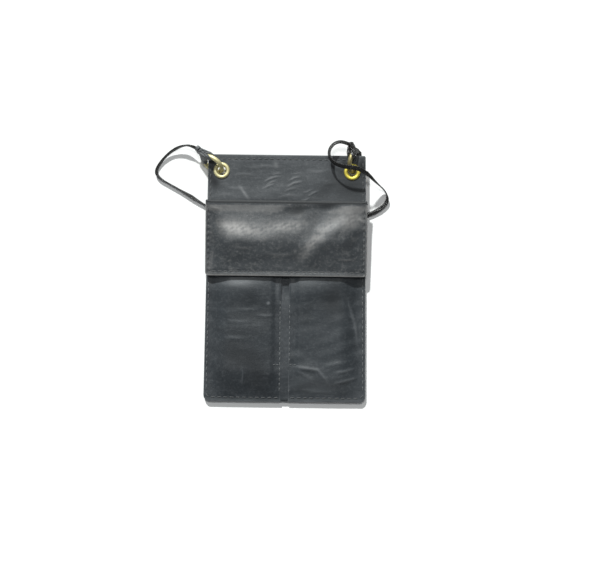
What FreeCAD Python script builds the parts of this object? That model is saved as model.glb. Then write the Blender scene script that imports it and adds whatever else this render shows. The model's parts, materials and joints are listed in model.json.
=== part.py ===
"""Neck pouch wallet: a flat leather pouch with a flap, worn on a lace round the neck.

The pouch lies on its back. X runs across it, Y runs from its bottom edge to its top
edge, and Z points up out of its front. The origin is the middle of the flat part of
its back. Millimetres.
"""
import FreeCAD, Part
import math
import os

V = FreeCAD.Vector

# ---- Leather -------------------------------------------------------------------
leather = 1.0              # outer leather: back, front, pockets and flap
back_lining_t = 0.8        # the leather that lines the back and faces the tab
flap_lining_t = 0.6        # the thin leather that lines the flap
seam = 5.0                 # width of the sewn margin round each panel

# ---- Pouch ---------------------------------------------------------------------
pouch_length = 193.0       # bottom edge to the tab's top edge
bottom_width = 127.0       # across the pouch at its bottom edge
top_width = 122.6          # across the tab at its top edge
bottom_corner_r = 5.0
top_corner_r = 1.5
tab_length = 37.4          # top edge down to the line where the flap folds over
mouth_below_fold = 27.9    # fold to the mouth of the main compartment
bend_clear = 1.0           # flat back left above the mouth, before the tab rises
bend_length = 22.0         # the tab rises over this length
tab_rise = 8.0             # underside of the tab above the back
compartment_gap = 4.4      # room between lining and front panel
ramp = 8.0                 # a panel climbs from its margin to its full height in this

# ---- Card pockets --------------------------------------------------------------
pocket_below_mouth = 17.7   # main mouth to the pockets' mouths
pocket_gap = 1.2            # room in a card pocket
left_pocket_edge = -3.0     # inner edges of the two pockets
right_pocket_edge = 2.6
pocket_inner_margin = 4.0   # sewn margin along a pocket's inner edge
pocket_inner_ramp = 5.0

# ---- Flap ----------------------------------------------------------------------
flap_length = 57.3          # fold to the flap's lower edge
flap_inset = 0.5            # the flap's sides lie this far inside the pouch's
flap_corner_r = 3.0
roll_r = 1.8                # the rolled leather at the fold
roll_gap = 0.3              # running gap between the roll and the tab
flap_side_margin = 4.0
flap_ramp = 12.0
fold_edge_drop = 0.5        # how far the flap's sides droop at the fold
lower_edge_drop = 3.6       # and at its lower edge
flap_puff = 2.2             # how far the outer leather stands off its lining
crest_share = 0.42          # the puff is highest this far down the flap
strip_length = 7.5          # the flap's tail, sewn to the tab under the fold
strip_inset = 1.0           # the tail ends this far inside the flap's full height

# ---- Hook and loop closure -----------------------------------------------------
patch_width = 40.0
patch_length = 12.0
patch_t = 1.8
patch_gap = 0.3             # between the two halves at rest
patch_clear = 3.0           # above the pockets' mouths

# ---- Eyelets -------------------------------------------------------------------
eyelet_from_side = 10.55
eyelet_from_top = 12.7
eyelet_bore_r = 3.4
eyelet_barrel_r = 3.9
eyelet_flange_r = 6.4
eyelet_crown = 1.1          # the domed flange stands this proud of the leather
washer_r = 6.0
washer_t = 0.7
lip_r = 1.3                 # the barrel's end is rolled out this far over the washer
fit_gap = 0.1               # between the barrel and what it passes through

# ---- Rings ---------------------------------------------------------------------
wire_r = 1.7
ring_room = 2.8             # the middle of the wire passes this far outside the tab's edge
ring_shift = 0.4            # the wire sits this far off the eyelet's centre
ring_tilt = 62.0            # the ring's plane to the tab, degrees
left_lean = 144.0           # direction in plan from each eyelet to its ring's far side
right_lean = 78.0

# ---- Knots and lace ------------------------------------------------------------
lace_width = 3.4
knot_r = 4.3
knot_turn = 15.0            # degrees round the ring from the tab's level to the knot
knot_gap = 0.35             # between a knot and the ring or tab that it goes round
hank_from_eyelet = 15.9    # eyelet's centre in to the end of the hank
hank_below_eyelet = 8.5    # eyelets' line down to the middle of the hank
hank_width = 28.0
hank_height = 5.6
hank_corner_r = 9.0
tie_width = 6.0
tie_t = 0.6

# ---- Derived heights and places ------------------------------------------------
flap_width = bottom_width - 2 * flap_inset
fold_from_bottom = pouch_length - tab_length
mouth_from_bottom = fold_from_bottom - mouth_below_fold
bend_from_bottom = mouth_from_bottom + bend_clear
y_bottom = -bend_from_bottom / 2
y_top = y_bottom + pouch_length
y_mouth = y_bottom + mouth_from_bottom
y_bend = y_bottom + bend_from_bottom
y_flat = y_bend + bend_length
y_pocket = y_mouth - pocket_below_mouth
y_fold = y_bottom + fold_from_bottom
y_flap = y_fold - flap_length
y_eyelet = y_top - eyelet_from_top

z_lining = leather                              # top of the back panel
z_inside = z_lining + back_lining_t             # floor of the main compartment
z_front = z_inside + compartment_gap            # underside of the front panel
z_pocket = z_front + leather + pocket_gap       # underside of a pocket
z_tab = tab_rise + z_inside                     # top of the tab
z_axis = z_tab + roll_gap + roll_r              # the flap turns about this height
z_patch = z_front + leather                     # foot of the loop patch
z_flap = z_patch + 2 * patch_t + patch_gap      # underside of the flap's lining
z_flap_outer = z_flap + flap_lining_t

over = 10.0                 # how far working solids run past the pouch
deep = -over                # and below it
tall = z_flap_outer + flap_puff + over


# ---- Working geometry ----------------------------------------------------------
def level_curve(low, high, place):
    """Two equal arcs from one level point to another; place() puts (run, height) in space."""
    half_run = (high[0] - low[0]) / 2
    half_rise = (high[1] - low[1]) / 2
    turn = 2 * math.atan2(half_rise, half_run)
    radius = half_run / math.sin(turn)
    part_run = radius * math.sin(turn / 2)
    part_rise = radius * (1 - math.cos(turn / 2))
    middle = place(low[0] + half_run, low[1] + half_rise)
    first = Part.Arc(place(*low), place(low[0] + part_run, low[1] + part_rise), middle)
    last = Part.Arc(middle, place(high[0] - part_run, high[1] - part_rise), place(*high))
    return [first.toShape(), last.toShape()]


def section(stations, place):
    """Closed wire under a line of (run, height) stations, joined level to level."""
    edges = []
    for start, end in zip(stations, stations[1:]):
        if abs(start[1] - end[1]) < 1e-9:
            edges.append(Part.makeLine(place(*start), place(*end)))
        else:
            edges.extend(level_curve(start, end, place))
    first = place(*stations[0])
    last = place(*stations[-1])
    foot_last = place(stations[-1][0], deep)
    foot_first = place(stations[0][0], deep)
    edges.append(Part.makeLine(last, foot_last))
    edges.append(Part.makeLine(foot_last, foot_first))
    edges.append(Part.makeLine(foot_first, first))
    return Part.Wire(edges)


def below_along_y(stations):
    """Everything under a profile across the pouch, carried from end to end."""
    start = y_bottom - over
    wire = section(stations, lambda x, z: V(x, start, z))
    return Part.Face(wire).extrude(V(0, pouch_length + 2 * over, 0))


def below_along_x(stations):
    """Everything under a lengthwise profile, carried from side to side."""
    half = bottom_width / 2 + over
    wire = section(stations, lambda y, z: V(-half, y, z))
    return Part.Face(wire).extrude(V(2 * half, 0, 0))


def prism(corners, radii, low=deep, high=tall):
    """Upright block over a polygon given anticlockwise, with its corners rounded."""
    count = len(corners)
    edges = []
    last_end = None
    first_start = None
    for i in range(count):
        here = V(corners[i][0], corners[i][1], low)
        back = (V(corners[i - 1][0], corners[i - 1][1], low) - here).normalize()
        ahead = (V(corners[(i + 1) % count][0], corners[(i + 1) % count][1], low) - here).normalize()
        if radii[i] > 0:
            half_angle = back.getAngle(ahead) / 2
            trim = radii[i] / math.tan(half_angle)
            middle = (back + ahead).normalize() * (radii[i] / math.sin(half_angle) - radii[i])
            start = here + back * trim
            end = here + ahead * trim
            corner = Part.Arc(start, here + middle, end).toShape()
        else:
            start = here
            end = here
            corner = None
        if last_end is not None:
            edges.append(Part.makeLine(last_end, start))
        else:
            first_start = start
        if corner is not None:
            edges.append(corner)
        last_end = end
    edges.append(Part.makeLine(last_end, first_start))
    return Part.Face(Part.Wire(edges)).extrude(V(0, 0, high - low))


def raised(solid, height):
    """A copy of a solid, moved up."""
    copy = solid.copy()
    copy.translate(V(0, 0, height))
    return copy


def sheet(below, thickness, outline):
    """Leather of one thickness that lies on the top of a working solid."""
    return raised(below, thickness).cut(below).common(outline)


def half_width(y):
    """Half the width of the pouch at a height up it."""
    share = (y - y_bottom) / pouch_length
    return (bottom_width + (top_width - bottom_width) * share) / 2


def panel_outline(left, right, top, top_radius):
    """Outline of a panel from the bottom edge up; left and right are None at the pouch's sides."""
    low_left = -half_width(y_bottom) if left is None else left
    low_right = half_width(y_bottom) if right is None else right
    top_left = -half_width(top) if left is None else left
    top_right = half_width(top) if right is None else right
    corners = [(low_left, y_bottom), (low_right, y_bottom), (top_right, top), (top_left, top)]
    left_r = bottom_corner_r if left is None else 0
    right_r = bottom_corner_r if right is None else 0
    return prism(corners, [left_r, right_r, top_radius, top_radius])


def crowned(x_stations, y_stations):
    """Working solid whose top is the lower of a crosswise and a lengthwise profile."""
    return below_along_y(x_stations).common(below_along_x(y_stations))


def eyelet_centres():
    """Centres of the left and right eyelets at the middle of the tab's thickness."""
    x = half_width(y_eyelet) - eyelet_from_side
    z = tab_rise + z_inside / 2
    return {"left": V(-x, y_eyelet, z), "right": V(x, y_eyelet, z)}


def ring_radius():
    """Both rings are alike, and large enough to go round the tab's side or its top edge."""
    round_side = (eyelet_from_side + ring_room) / -math.cos(math.radians(left_lean))
    round_top = (eyelet_from_top + ring_room) / math.sin(math.radians(right_lean))
    return (max(round_side, round_top) - ring_shift) / 2


def ring_place(side):
    """Centre, direction to the far side, direction up the ring, and axis of a ring."""
    lean = math.radians(left_lean if side == "left" else right_lean)
    along = V(math.cos(lean), math.sin(lean), 0)
    turn = -1 if side == "left" else 1
    across = V(-along.y * turn, along.x * turn, 0)
    tilt = math.radians(ring_tilt)
    up = across * math.cos(tilt) + V(0, 0, math.sin(tilt))
    centre = eyelet_centres()[side] + along * (ring_radius() + ring_shift)
    return centre, along, up, along.cross(up)


# ---- Back ----------------------------------------------------------------------
def back_form():
    """Working solid under the back: flat, then an even rise to the tab."""
    stations = [(y_bottom - over, 0), (y_bend, 0), (y_flat, tab_rise), (y_top + over, tab_rise)]
    return below_along_x(stations)


def eyelet_holes():
    """The two holes punched through the tab."""
    holes = []
    for centre in eyelet_centres().values():
        foot = V(centre.x, centre.y, tab_rise - 1)
        holes.append(Part.makeCylinder(eyelet_barrel_r + fit_gap, z_inside + 2, foot))
    return holes


def make_back():
    outline = panel_outline(None, None, y_top, top_corner_r)
    form = back_form()
    panel = sheet(form, leather, outline)
    lining = sheet(raised(form, leather), back_lining_t, outline)
    for hole in eyelet_holes():
        panel = panel.cut(hole)
        lining = lining.cut(hole)
    return {"back_panel": panel, "back_lining": lining}


# ---- Front and pockets ---------------------------------------------------------
def side_stations(margin_z, middle_z):
    """Crosswise profile: a flat margin at each side, a climb, and a flat middle."""
    edge = half_width(y_bottom)
    return [
        (-edge - over / 2, margin_z),
        (-edge + seam, margin_z),
        (-edge + seam + ramp, middle_z),
        (edge - seam - ramp, middle_z),
        (edge - seam, margin_z),
        (edge + over / 2, margin_z),
    ]


def bottom_stations(margin_z, middle_z):
    """Lengthwise profile: a flat margin at the bottom edge, a climb, then flat."""
    return [
        (y_bottom - over / 2, margin_z),
        (y_bottom + seam, margin_z),
        (y_bottom + seam + ramp, middle_z),
        (y_top, middle_z),
    ]


def make_front():
    form = crowned(side_stations(z_inside, z_front), bottom_stations(z_inside, z_front))
    return {"front_panel": sheet(form, leather, panel_outline(None, None, y_mouth, 0))}


def pocket_stations(side):
    """Crosswise profile of a pocket: it is sewn down at the pouch's side and at its inner edge."""
    edge = half_width(y_bottom)
    margin_z = z_inside + leather
    inner_z = z_front + leather
    if side == "left":
        return [
            (-edge - over / 2, margin_z),
            (-edge + seam, margin_z),
            (-edge + seam + ramp, z_pocket),
            (left_pocket_edge - pocket_inner_margin - pocket_inner_ramp, z_pocket),
            (left_pocket_edge - pocket_inner_margin, inner_z),
            (edge, inner_z),
        ]
    return [
        (-edge, inner_z),
        (right_pocket_edge + pocket_inner_margin, inner_z),
        (right_pocket_edge + pocket_inner_margin + pocket_inner_ramp, z_pocket),
        (edge - seam - ramp, z_pocket),
        (edge - seam, margin_z),
        (edge + over / 2, margin_z),
    ]


def make_pockets():
    made = {}
    lengthwise = bottom_stations(z_inside + leather, z_pocket)
    for side in ("left", "right"):
        form = crowned(pocket_stations(side), lengthwise)
        left = None if side == "left" else right_pocket_edge
        right = left_pocket_edge if side == "left" else None
        outline = panel_outline(left, right, y_pocket, 0)
        made[side + "_card_pocket"] = sheet(form, leather, outline)
    return made


# ---- Flap ----------------------------------------------------------------------
def flap_section(y, margin_z, middle_z):
    """Wire across the flap at one place along it."""
    edge = flap_width / 2
    stations = [
        (-edge - over / 2, margin_z),
        (-edge + flap_side_margin, margin_z),
        (-edge + flap_side_margin + flap_ramp, middle_z),
        (edge - flap_side_margin - flap_ramp, middle_z),
        (edge - flap_side_margin, margin_z),
        (edge + over / 2, margin_z),
    ]
    return section(stations, lambda x, z: V(x, y, z))


def flap_form(rise, puff):
    """Working solid under a layer of the flap, whose sides droop more towards its lower edge."""
    lower = flap_section(y_flap - 1, z_flap + rise - lower_edge_drop, z_flap + rise + puff)
    upper = flap_section(y_fold + 1, z_flap + rise - fold_edge_drop, z_flap + rise + puff)
    return Part.makeLoft([lower, upper], True, True)


def flap_outline(upper_y):
    edge = flap_width / 2
    corners = [(-edge, y_flap), (edge, y_flap), (edge, upper_y), (-edge, upper_y)]
    return prism(corners, [flap_corner_r, flap_corner_r, 0, 0])


def make_flap():
    lining_top = y_fold - roll_r - 2 * fit_gap
    lining = sheet(flap_form(0, 0), flap_lining_t, flap_outline(lining_top))

    roll_top = z_axis + roll_r
    crest_y = y_fold - crest_share * flap_length
    lengthwise = [
        (y_flap - over / 2, z_flap_outer),
        (y_flap + seam, z_flap_outer),
        (crest_y, z_flap_outer + flap_puff),
        (y_fold, roll_top - leather),
        (y_fold + over, roll_top - leather),
    ]
    form = flap_form(flap_lining_t, flap_puff).common(below_along_x(lengthwise))
    outer = sheet(form, leather, flap_outline(y_fold))
    roll = Part.makeCylinder(roll_r, flap_width, V(-flap_width / 2, y_fold, z_axis), V(1, 0, 0))
    return {"flap_lining": lining, "flap_outer": outer.fuse(roll).removeSplitter()}


def make_flap_strip():
    """The flap's tail lies on the tab under the fold, where it is sewn down."""
    upper = y_fold - roll_r
    lower = upper - strip_length
    edge = flap_width / 2 - flap_side_margin - flap_ramp - strip_inset
    corners = [(-edge, lower), (edge, lower), (edge, upper), (-edge, upper)]
    outline = prism(corners, [0, 0, 0, 0])
    return {"flap_seam_strip": sheet(raised(back_form(), z_inside), leather, outline)}


def make_patches():
    """Hook patch under the flap, loop patch on the front panel above the pockets."""
    corner_y = y_pocket + patch_clear
    loop = Part.makeBox(patch_width, patch_length, patch_t, V(-patch_width / 2, corner_y, z_patch))
    return {"loop_patch": loop, "hook_patch": raised(loop, patch_t + patch_gap)}


# ---- Eyelets and rings ---------------------------------------------------------
def make_eyelet(centre):
    """A domed flange with its barrel, which is rolled out below over a washer."""
    top = z_tab
    foot = tab_rise - washer_t
    crown_r = (eyelet_flange_r + eyelet_bore_r) / 2
    flange = Part.Arc(V(eyelet_flange_r, 0, top), V(crown_r, 0, top + eyelet_crown),
                      V(eyelet_bore_r, 0, top - fit_gap))
    lip_mid = V(eyelet_bore_r + lip_r / 2, 0, foot - lip_r / 2)
    lip_end = V(eyelet_barrel_r + lip_r, 0, foot)
    lip = Part.Arc(V(eyelet_bore_r, 0, foot + fit_gap), lip_mid, lip_end)
    edges = [
        flange.toShape(),
        Part.makeLine(flange.EndPoint, lip.StartPoint),
        lip.toShape(),
        Part.makeLine(lip.EndPoint, V(eyelet_barrel_r, 0, foot)),
        Part.makeLine(V(eyelet_barrel_r, 0, foot), V(eyelet_barrel_r, 0, top)),
        Part.makeLine(V(eyelet_barrel_r, 0, top), flange.StartPoint),
    ]
    eyelet = Part.Face(Part.Wire(edges)).revolve(V(0, 0, 0), V(0, 0, 1), 360)
    eyelet.translate(V(centre.x, centre.y, 0))
    return eyelet


def make_washer(centre):
    foot = V(centre.x, centre.y, tab_rise - washer_t)
    disc = Part.makeCylinder(washer_r, washer_t, foot)
    rim = [edge for edge in disc.Edges if abs(edge.BoundBox.ZMax - foot.z) < 1e-6]
    disc = disc.makeFillet(washer_t / 2, rim[:1])
    return disc.cut(Part.makeCylinder(eyelet_barrel_r + fit_gap, washer_t, foot))


def make_eyelets_and_rings():
    made = {}
    for side, centre in eyelet_centres().items():
        made[side + "_grommet"] = make_eyelet(centre)
        made[side + "_washer"] = make_washer(centre)
        ring_centre, along, up, axis = ring_place(side)
        made[side + "_ring"] = Part.makeTorus(ring_radius(), wire_r, ring_centre, axis)
    return made


# ---- Lace ----------------------------------------------------------------------
# Points that the lace follows, measured from the centre of the eyelet on its side.
left_route = [
    (-18.1, 16.0, 0.5),
    (-24.1, 19.5, -0.9),
    (-32.1, 19.2, -3.5),
    (-40.6, 14.6, -5.9),
    (-47.6, 7.5, -7.1),
    (-52.1, -1.4, -7.1),
    (-46.7, -7.8, -7.1),
    (-37.7, -12.2, -7.1),
    (-27.5, -17.8, -7.1),
    (-18.5, -23.4, -7.1),
    (-9.1, -28.5, -7.1),
    (-0.5, -25.8, -7.1),
    (3.7, -17.4, -7.1),
    (8.3, -10.5, -6.7),
    (15.9, -10.5, -6.7),
]
right_route = [
    (-1.1, 20.6, 3.1),
    (-7.1, 23.6, 3.7),
    (-14.5, 22.2, 4.1),
    (-19.1, 15.2, 4.5),
    (-16.7, 7.2, 5.5),
    (-7.7, 3.2, 9.3),
    (2.5, 2.8, 9.9),
    (11.5, -1.4, 6.1),
    (18.7, -8.2, -0.9),
    (26.3, -13.8, -5.9),
    (28.9, -21.2, -7.1),
    (23.3, -28.0, -7.1),
    (13.5, -33.2, -7.1),
    (3.3, -34.5, -7.1),
    (-2.3, -26.5, -7.1),
    (-4.5, -17.8, -7.1),
    (-8.5, -10.5, -6.7),
    (-15.9, -10.5, -6.7),
]


def lace_tube(name, route):
    """Round tube of the lace's width: straight runs joined by tangent arcs."""
    edges = []
    radii = []
    last = route[0]
    for before, here, after in zip(route, route[1:], route[2:]):
        back = before - here
        ahead = after - here
        half_turn = (math.pi - back.getAngle(ahead)) / 2
        trim = 0.45 * min(back.Length, ahead.Length)
        radius = trim / math.tan(half_turn)
        back.normalize()
        ahead.normalize()
        start = here + back * trim
        end = here + ahead * trim
        inward = (back + ahead).normalize() * (radius / math.cos(half_turn) - radius)
        edges.append(Part.makeLine(last, start))
        edges.append(Part.Arc(start, here + inward, end).toShape())
        radii.append(round(radius, 1))
        last = end
    edges.append(Part.makeLine(last, route[-1]))
    path = Part.Wire(edges)
    mouth = Part.Wire(Part.makeCircle(lace_width / 2, route[0], route[1] - route[0]))
    tube = path.makePipeShell([mouth], True, False)
    expected = math.pi * (lace_width / 2) ** 2 * path.Length
    print(name, "length", round(path.Length, 1), "radii", radii)
    print(name, "volume", round(tube.Volume, 1), "of", round(expected, 1))
    return tube


def make_knot(side, route, tube):
    """A turn of lace drawn tight round the ring, tapering to the lace that leaves it."""
    centre, along, up, axis = ring_place(side)
    turn = math.radians(knot_turn)
    wire = centre + (along * math.cos(turn) + up * math.sin(turn)) * ring_radius()
    leave = route[0]
    heading = (route[1] - leave).normalize()
    reach = (leave - wire).dot(heading)
    slope = math.atan2(knot_r - lace_width / 2, reach)
    back = Part.Arc(V(0, 0, -knot_r), V(knot_r * math.cos(slope), 0, -knot_r * math.sin(slope)),
                    V(knot_r * math.cos(slope), 0, knot_r * math.sin(slope)))
    edges = [
        back.toShape(),
        Part.makeLine(back.EndPoint, V(lace_width / 2, 0, reach)),
        Part.makeLine(V(lace_width / 2, 0, reach), V(0, 0, reach)),
        Part.makeLine(V(0, 0, reach), back.StartPoint),
    ]
    knot = Part.Face(Part.Wire(edges)).revolve(V(0, 0, 0), V(0, 0, 1), 360)
    turned = FreeCAD.Rotation(V(0, 0, 1), heading)
    knot.Placement = FreeCAD.Placement(leave - heading * reach, turned)
    knot = knot.cut(Part.makeTorus(ring_radius(), wire_r + knot_gap, centre, axis))
    edge = half_width(y_eyelet) + knot_gap
    top = y_top + knot_gap
    corners = [(-edge, y_fold), (edge, y_fold), (edge, top), (-edge, top)]
    room = prism(corners, [0, 0, 0, 0], tab_rise - knot_gap, z_tab + knot_gap)
    solids = knot.cut(room).cut(tube).Solids
    return max(solids, key=lambda solid: solid.Volume)


def make_hank():
    """The rest of the lace, folded flat under the tab and drawn in where its tie goes round it."""
    half_length = eyelet_centres()["right"].x - hank_from_eyelet
    y_middle = y_eyelet - hank_below_eyelet
    low = y_middle - hank_width / 2
    high = y_middle + hank_width / 2
    corners = [(-half_length, low), (half_length, low), (half_length, high), (-half_length, high)]
    hank = prism(corners, [hank_corner_r] * 4, 0, hank_height)
    wrap = Part.makeBox(tie_width, hank_width, hank_height, V(-tie_width / 2, low, 0))
    core = Part.makeBox(tie_width, hank_width - 2 * tie_t, hank_height - 2 * tie_t,
                        V(-tie_width / 2, low + tie_t, tie_t))
    tie = wrap.cut(core)
    return {"lace_hank": hank.cut(tie), "hank_tie": tie}


def make_lace():
    made = {}
    for side, offsets in (("left", left_route), ("right", right_route)):
        route = [eyelet_centres()[side] + V(*offset) for offset in offsets]
        tube = lace_tube("lace_" + side, route)
        made["lace_" + side] = tube
        made["knot_" + side] = make_knot(side, route, tube)
    made.update(make_hank())
    return made


# ---- Output --------------------------------------------------------------------
os.makedirs("parts", exist_ok=True)
parts = {}
for group in (make_back(), make_front(), make_pockets(), make_flap(), make_flap_strip(),
              make_patches(), make_eyelets_and_rings(), make_lace()):
    parts.update(group)
for name, shape in parts.items():
    shape.exportStep("parts/" + name + ".step")
    box = shape.BoundBox
    print(name, shape.ShapeType, len(shape.Solids), shape.isValid(), round(shape.Volume, 1),
          [round(v, 2) for v in (box.XMin, box.XMax, box.YMin, box.YMax, box.ZMin, box.ZMax)])
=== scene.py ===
"""A neck pouch wallet dressed in leather, stitching, lace and brass.

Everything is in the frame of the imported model: X runs across the pouch, Y from its
bottom edge to its top edge, Z up out of its front. Shapes are worked out in millimetres.
"""
import json
import math

import bmesh
import bpy
import numpy as np
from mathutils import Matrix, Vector
from mathutils.bvhtree import BVHTree


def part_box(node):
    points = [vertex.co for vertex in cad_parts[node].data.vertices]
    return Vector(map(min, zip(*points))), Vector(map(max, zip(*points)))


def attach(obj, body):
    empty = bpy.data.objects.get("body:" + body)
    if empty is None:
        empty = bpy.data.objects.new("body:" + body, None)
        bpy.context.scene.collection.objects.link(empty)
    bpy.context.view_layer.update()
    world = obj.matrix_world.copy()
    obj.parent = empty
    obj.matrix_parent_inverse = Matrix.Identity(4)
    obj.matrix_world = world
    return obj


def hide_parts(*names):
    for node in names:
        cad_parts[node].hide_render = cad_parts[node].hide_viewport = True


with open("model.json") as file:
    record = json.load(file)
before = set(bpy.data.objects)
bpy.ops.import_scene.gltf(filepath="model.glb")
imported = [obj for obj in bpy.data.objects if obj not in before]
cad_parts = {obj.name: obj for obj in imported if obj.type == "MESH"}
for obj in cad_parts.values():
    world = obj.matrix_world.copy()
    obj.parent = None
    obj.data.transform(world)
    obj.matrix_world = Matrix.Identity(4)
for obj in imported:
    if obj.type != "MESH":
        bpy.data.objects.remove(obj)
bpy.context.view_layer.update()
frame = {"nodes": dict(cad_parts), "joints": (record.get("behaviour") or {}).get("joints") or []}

MM = 0.001

# ---- Sizes that the frame doesn't give ----
leather = 1.0              # outer leather
lining_t = 0.8             # leather that lines the back and faces the tab
flap_lining_t = 0.6
edge_round = 0.55          # leather's cut edges are rounded over this
seam = 4.2                 # sewn margin round each panel
ramp = 17.0                # a panel climbs from its side margin to its full height in this
foot_ramp = 28.0           # and from its bottom margin in this
pocket_margin = 4.0        # sewn margin at a pocket's inner edge
pocket_ramp = 5.0          # and the climb beside it
top_width = 122.6          # across the tab's top edge
bottom_corner_r = 5.0
top_corner_r = 1.5
flap_corner_r = 3.0
bend_length = 22.0         # the tab rises over this length above the mouth
roll_r = 1.8               # the rolled leather at the flap's fold
roll_gap = 0.3             # between the roll and the tab
roll_flatness = 0.55       # the roll is pressed to this share of its height
fold_sag = 0.5             # the flap's sides hang this far below its middle near the fold
flap_sag = 3.6             # and this far at its lower edge
hole_r = 4.0               # the eyelets' holes in the tab
lace_width = 3.4
lace_t = 0.8
stitch_pitch = 4.6
stitch_length = 3.3
stitch_side = 2.1          # sewn lines to the pouch's sides
stitch_end = 3.4           # and to its bottom and top edges
flap_stitch_side = 2.3
flap_stitch_end = 3.6
thread_r = 0.3
grid_step = 0.9            # between the rows of a sheet's mesh


def node_box(name):
    """Lowest and highest corner of a CAD node, in millimetres."""
    low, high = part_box(name)
    return [v / MM for v in low], [v / MM for v in high]


back_low, back_high = node_box("back_panel")
front_low, front_high = node_box("front_panel")
left_low, left_high = node_box("left_card_pocket")
right_low, right_high = node_box("right_card_pocket")
flap_low, flap_high = node_box("flap_outer")
flap_lining_low, flap_lining_high = node_box("flap_lining")
strip_low, strip_high = node_box("flap_seam_strip")
hank_low, hank_high = node_box("lace_hank")

y_bottom = back_low[1]
y_top = back_high[1]
y_mouth = front_high[1]
y_bend = y_mouth + 1.0
y_pocket = left_high[1]
y_fold = flap_high[1] - roll_r
y_flap = flap_low[1]
bottom_width = back_high[0] - back_low[0]
tab_rise = back_high[2] - leather
z_inside = leather + lining_t
z_front = front_high[2] - leather
z_pocket = left_high[2] - leather
flap_half = flap_high[0]
z_axis = tab_rise + z_inside + roll_gap + roll_r
eyelets = {side: (*np.mean(node_box(side + "_grommet"), axis=0)[:2], tab_rise + z_inside / 2)
           for side in ("left", "right")}


# ---- Working shapes ----
def smooth(t):
    """0 to 1 with level ends."""
    t = np.clip(t, 0, 1)
    return t * t * (3 - 2 * t)


def half_width(y):
    """Half the pouch's width at a height up it."""
    share = (y - y_bottom) / (y_top - y_bottom)
    return (bottom_width + (top_width - bottom_width) * share) / 2


def rounded(y, edge, radius, sign):
    """How far a rounded corner pulls the side in, at a distance from the end edge."""
    d = np.clip(radius - sign * (y - edge), 0, radius)
    return radius - np.sqrt(np.maximum(radius ** 2 - d ** 2, 0))


def stations(start, end, step=grid_step):
    """Places from one edge to the other, close together near both."""
    near = [0.0, 0.1, 0.25, 0.45, 0.7, 1.1, 1.7]
    count = max(2, round((end - start - 2 * near[-1]) / step))
    middle = np.linspace(start + near[-1], end - near[-1], count + 1)[1:-1]
    return np.array([start + d for d in near] + list(middle) + [end - d for d in near[::-1]])


def ripple(x, y, seed, longest, shortest, count=14, stretch=1.0):
    """Gentle unevenness, about -1 to 1, of waves between two lengths."""
    rng = np.random.default_rng(seed)
    total = np.zeros_like(x)
    for _ in range(count):
        length = math.exp(rng.uniform(math.log(shortest), math.log(longest)))
        turn = rng.uniform(0, 2 * math.pi)
        phase = rng.uniform(0, 2 * math.pi)
        k = 2 * math.pi / length
        total += np.sin(k * (x * math.cos(turn) / stretch + y * math.sin(turn)) + phase)
    return total / math.sqrt(count)


def measured(points):
    """Points as an array, their runs, the runs' lengths, and how far along each point is."""
    points = np.array(points, float)
    runs = np.diff(points, axis=0)
    lengths = np.hypot(runs[:, 0], runs[:, 1])
    return points, runs, lengths, np.concatenate([[0], np.cumsum(lengths)])


def ridge(x, y, points, width, height):
    """A crease that follows a line of points and fades at its ends."""
    points, runs, lengths, travelled = measured(points)
    best = np.full(x.shape, 1e9)
    share = np.zeros(x.shape)
    for start, run, length, before in zip(points, runs, lengths, travelled):
        t = ((x - start[0]) * run[0] + (y - start[1]) * run[1]) / length ** 2
        t = np.clip(t, 0, 1)
        d = np.hypot(x - start[0] - t * run[0], y - start[1] - t * run[1])
        nearer = d < best
        best = np.where(nearer, d, best)
        share = np.where(nearer, (before + t * length) / travelled[-1], share)
    return height * np.exp(-(best / width) ** 2) * np.sin(math.pi * np.clip(share, 0.02, 0.98))


def dent(x, y, centre, size, turn, height):
    """A soft swelling or hollow, longer one way than the other."""
    c, s = math.cos(math.radians(turn)), math.sin(math.radians(turn))
    dx, dy = x - centre[0], y - centre[1]
    along, across = dx * c + dy * s, dy * c - dx * s
    return height * np.exp(-(along / size[0]) ** 2 - (across / size[1]) ** 2)


def ridges(x, y, *lines):
    """Several ridges, each a line of points, a width and a height."""
    return sum(ridge(x, y, *line) for line in lines)


def dents(x, y, *marks):
    """Several dents, each a centre, a size, a turn and a height."""
    return sum(dent(x, y, *mark) for mark in marks)


def straight(x):
    """A straight edge up the pouch."""
    return lambda y: np.full_like(y, x)


def add_object(name, data):
    """A new object in the scene."""
    made = bpy.data.objects.new(name, data)
    bpy.context.scene.collection.objects.link(made)
    return made


def mesh_object(name, vertices, faces, material, wear_and_painted_light=None):
    """A smooth mesh object from millimetre vertices."""
    mesh = bpy.data.meshes.new(name)
    mesh.from_pydata((np.array(vertices, float) * MM).tolist(), [], faces)
    mesh.materials.append(material)
    if wear_and_painted_light is not None:
        layer = mesh.attributes.new("wear_and_painted_light", "FLOAT", "POINT")
        layer.data.foreach_set("value", np.asarray(wear_and_painted_light, np.float32))
    mesh.polygons.foreach_set("use_smooth", [True] * len(mesh.polygons))
    mesh.update()
    return add_object(name, mesh)


def two_sided(name, top, low, material, wear_and_painted_light):
    """A closed sheet from two grids of points that share their outermost rows."""
    rows, columns = top.shape[:2]
    index_top = np.arange(rows * columns).reshape(rows, columns)
    index_low = index_top.copy()
    inner = (rows - 2) * (columns - 2)
    index_low[1:-1, 1:-1] = (rows * columns + np.arange(inner)).reshape(rows - 2, columns - 2)
    vertices = np.concatenate([top.reshape(-1, 3), low[1:-1, 1:-1].reshape(-1, 3)])
    worn_and_painted_light = np.concatenate([wear_and_painted_light.reshape(-1), np.zeros(inner)])
    quads = []
    for index, turn in ((index_top, 1), (index_low, -1)):
        corners = np.stack([index[:-1, :-1], index[:-1, 1:], index[1:, 1:], index[1:, :-1]], axis=-1)
        quads.append(corners[:, :, ::turn])
    faces = np.stack(quads, axis=2).reshape(-1, 4).tolist()
    return mesh_object(name, vertices, faces, material, worn_and_painted_light)


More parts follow.
